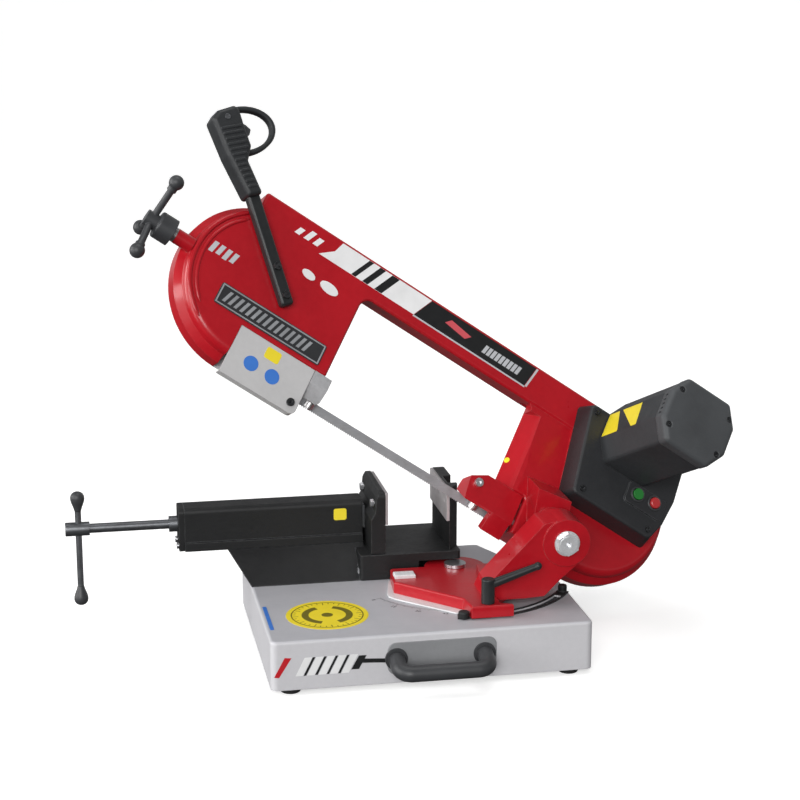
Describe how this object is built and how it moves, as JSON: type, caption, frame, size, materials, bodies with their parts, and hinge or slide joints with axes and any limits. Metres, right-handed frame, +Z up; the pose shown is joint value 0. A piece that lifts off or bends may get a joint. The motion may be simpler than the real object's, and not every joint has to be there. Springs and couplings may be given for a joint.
{
  "type": "metal cutting band saw",
  "caption": "Bench band saw for cutting metal bar: sheet steel base with screw vice, mitring turntable and a raised bow that hinges down with motor, gearbox, wheels and guided blade.",
  "frame": {"origin": "centre of the whole machine's bounding box, on the surface that its feet stand on", "axes": "+Z up, +X from the vice screw handle towards the motor end, +Y from the front with the carry handle to the back"},
  "size_m": [0.8886, 0.3914, 0.7149],
  "materials": {
    "red_casting": "satin",
    "grey_sheet": "satin",
    "black_iron": "satin",
    "black_alloy": "matte",
    "alloy": "satin",
    "steel": "satin",
    "dark_steel": "satin",
    "black_plastic": "matte",
    "green_plastic": "gloss",
    "red_plastic": "gloss",
    "black_rubber": "matte",
    "bronze": "satin"
  },
  "bodies": {
    "base": {"base_shell": "grey_sheet", "rubber_feet": "black_rubber", "base_fasteners": "steel", "carry_handle": "black_plastic", "mitre_track": "dark_steel", "vice_body": "black_iron", "vice_housing": "black_iron", "housing_end_cap": "black_iron", "fixed_jaw": "black_iron", "fixed_jaw_plate": "steel"},
    "vice_screw": {"vice_screw": "dark_steel"},
    "t_bar": {"vice_t_bar": "dark_steel", "t_bar_knobs": "black_plastic"},
    "vice_ram": {"vice_ram": "dark_steel", "jaw_fittings": "steel", "moving_jaw": "black_iron", "moving_jaw_plate": "steel"},
    "swivel": {"turntable": "red_casting", "pivot_bushes": "bronze", "wear_plate": "steel", "lock_bolt": "steel", "return_spring": "dark_steel"},
    "lock_lever": {"lock_lever": "dark_steel"},
    "bow": {"bow_frame": "red_casting", "pivot_shaft": "steel", "rear_cover": "grey_sheet", "head_screws": "steel", "head_bearings": "steel", "gearbox_cover": "black_alloy", "electric_fittings": "black_plastic", "motor_housing": "black_alloy", "motor_end_cap": "black_alloy", "motor_stator": "dark_steel", "blade": "steel", "left_guide_arm": "alloy", "right_guide_arm": "red_casting", "guide_pins": "steel", "blade_guard": "grey_sheet", "name_strip": "black_alloy", "handle_arm": "dark_steel", "grip": "black_plastic"},
    "drive_wheel": {"drive_wheel": "alloy", "drive_shaft": "steel", "output_gear": "steel"},
    "layshaft": {"layshaft": "steel"},
    "rotor": {"motor_rotor": "steel"},
    "tension_slide": {"tension_slide": "steel"},
    "idle_wheel": {"idle_wheel": "alloy"},
    "tension_handle": {"tension_screw": "steel", "tension_handle": "black_alloy", "tension_knobs": "black_plastic"},
    "start_button": {"start_button": "green_plastic"},
    "stop_button": {"stop_button": "red_plastic"},
    "trigger": {"trigger": "black_plastic"},
    "guide_roller_left_front": {"guide_roller_left_front": "steel"},
    "guide_roller_left_rear": {"guide_roller_left_rear": "steel"},
    "guide_roller_left_back": {"guide_roller_left_back": "steel"},
    "guide_roller_right_front": {"guide_roller_right_front": "steel"},
    "guide_roller_right_rear": {"guide_roller_right_rear": "steel"},
    "guide_roller_right_back": {"guide_roller_right_back": "steel"}
  },
  "joints": [
    {"name": "vice_screw_turn", "type": "hinge", "parent": "base", "child": "vice_screw", "pos_m": [-0.29829, 0.13575, 0.147], "axis": [1, 0, 0], "range_deg": [0, 5760]},
    {"name": "vice_ram_slide", "type": "slide", "parent": "base", "child": "vice_ram", "axis": [1, 0, 0], "range_m": [0, 0.0801]},
    {"name": "t_bar_slide", "type": "slide", "parent": "vice_screw", "child": "t_bar", "axis": [0, 0, 1], "range_m": [-0.014, 0.07]},
    {"name": "mitre_swivel", "type": "hinge", "parent": "base", "child": "swivel", "pos_m": [0.0817, 0.05075, 0.082], "axis": [0, 0, 1], "range_deg": [0, 45]},
    {"name": "lock_lever_turn", "type": "hinge", "parent": "swivel", "child": "lock_lever", "pos_m": [0.0917, -0.10395, 0.107], "axis": [0, 0, 1], "range_deg": [-70, 0]},
    {"name": "bow_pivot", "type": "hinge", "parent": "swivel", "child": "bow", "pos_m": [0.2025, -0.02925, 0.1581], "axis": [0, 1, 0], "range_deg": [-36.3, 0], "stiffness_Nm_per_rad": 10, "springref_deg": 77.35, "deforming": ["return_spring"]},
    {"name": "drive_wheel_spin", "type": "hinge", "parent": "bow", "child": "drive_wheel", "pos_m": [0.28929, 0.10025, 0.15431], "axis": [0.2803, -0.866, 0.414], "continuous": true},
    {"name": "layshaft_spin", "type": "hinge", "parent": "bow", "child": "layshaft", "pos_m": [0.31629, 0.08186, 0.19418], "axis": [0.2803, -0.866, 0.414], "continuous": true},
    {"name": "rotor_spin", "type": "hinge", "parent": "bow", "child": "rotor", "pos_m": [0.36299, 0.03758, 0.26316], "axis": [0.2803, -0.866, 0.414], "continuous": true},
    {"name": "tension_slide_move", "type": "slide", "parent": "bow", "child": "tension_slide", "axis": [0.8281, 0, -0.5606], "range_m": [0, 0.00801]},
    {"name": "idle_wheel_spin", "type": "hinge", "parent": "tension_slide", "child": "idle_wheel", "pos_m": [-0.18187, 0.10025, 0.47332], "axis": [0.2803, -0.866, 0.414], "continuous": true},
    {"name": "tension_handle_turn", "type": "hinge", "parent": "bow", "child": "tension_handle", "pos_m": [-0.29138, 0.08553, 0.55773], "axis": [0.8281, 0, -0.5606], "range_deg": [0, 1440]},
    {"name": "start_button_press", "type": "slide", "parent": "bow", "child": "start_button", "axis": [-0.2803, 0.866, -0.414], "range_m": [0, 0.0025], "stiffness_N_per_m": 600},
    {"name": "stop_button_press", "type": "slide", "parent": "bow", "child": "stop_button", "axis": [-0.2803, 0.866, -0.414], "range_m": [0, 0.0025], "stiffness_N_per_m": 600},
    {"name": "trigger_pull", "type": "hinge", "parent": "bow", "child": "trigger", "pos_m": [-0.19833, 0.15709, 0.68788], "axis": [0.2803, -0.866, 0.414], "range_deg": [-9, 0], "stiffness_Nm_per_rad": 0.6},
    {"name": "guide_roller_left_front_spin", "type": "hinge", "parent": "bow", "child": "guide_roller_left_front", "pos_m": [-0.1191, 0.04324, 0.3297], "axis": [0.5606, 0, 0.8281], "continuous": true},
    {"name": "guide_roller_left_rear_spin", "type": "hinge", "parent": "bow", "child": "guide_roller_left_rear", "pos_m": [-0.1191, 0.05826, 0.3297], "axis": [0.5606, 0, 0.8281], "continuous": true},
    {"name": "guide_roller_left_back_spin", "type": "hinge", "parent": "bow", "child": "guide_roller_left_back", "pos_m": [-0.1209, 0.05075, 0.34487], "axis": [0, 1, 0], "continuous": true},
    {"name": "guide_roller_right_front_spin", "type": "hinge", "parent": "bow", "child": "guide_roller_right_front", "pos_m": [0.10489, 0.04324, 0.17804], "axis": [0.5606, 0, 0.8281], "continuous": true},
    {"name": "guide_roller_right_rear_spin", "type": "hinge", "parent": "bow", "child": "guide_roller_right_rear", "pos_m": [0.10489, 0.05826, 0.17804], "axis": [0.5606, 0, 0.8281], "continuous": true},
    {"name": "guide_roller_right_back_spin", "type": "hinge", "parent": "bow", "child": "guide_roller_right_back", "pos_m": [0.10143, 0.05075, 0.19434], "axis": [0, 1, 0], "continuous": true}
  ],
  "couplings": [
    {"joint": "vice_ram_slide", "follows": "vice_screw_turn", "m_per_rad": 0.00079577},
    {"joint": "layshaft_spin", "follows": "drive_wheel_spin", "ratio": -3.3333},
    {"joint": "rotor_spin", "follows": "drive_wheel_spin", "ratio": 18.889},
    {"joint": "idle_wheel_spin", "follows": "drive_wheel_spin", "ratio": 1},
    {"joint": "tension_slide_move", "follows": "tension_handle_turn", "m_per_rad": 0.00031831},
    {"joint": "guide_roller_left_front_spin", "follows": "drive_wheel_spin", "ratio": -13.643},
    {"joint": "guide_roller_left_rear_spin", "follows": "drive_wheel_spin", "ratio": 13.643},
    {"joint": "guide_roller_left_back_spin", "follows": "drive_wheel_spin", "ratio": -13.643},
    {"joint": "guide_roller_right_front_spin", "follows": "drive_wheel_spin", "ratio": -13.643},
    {"joint": "guide_roller_right_rear_spin", "follows": "drive_wheel_spin", "ratio": 13.643},
    {"joint": "guide_roller_right_back_spin", "follows": "drive_wheel_spin", "ratio": -13.643}
  ]
}
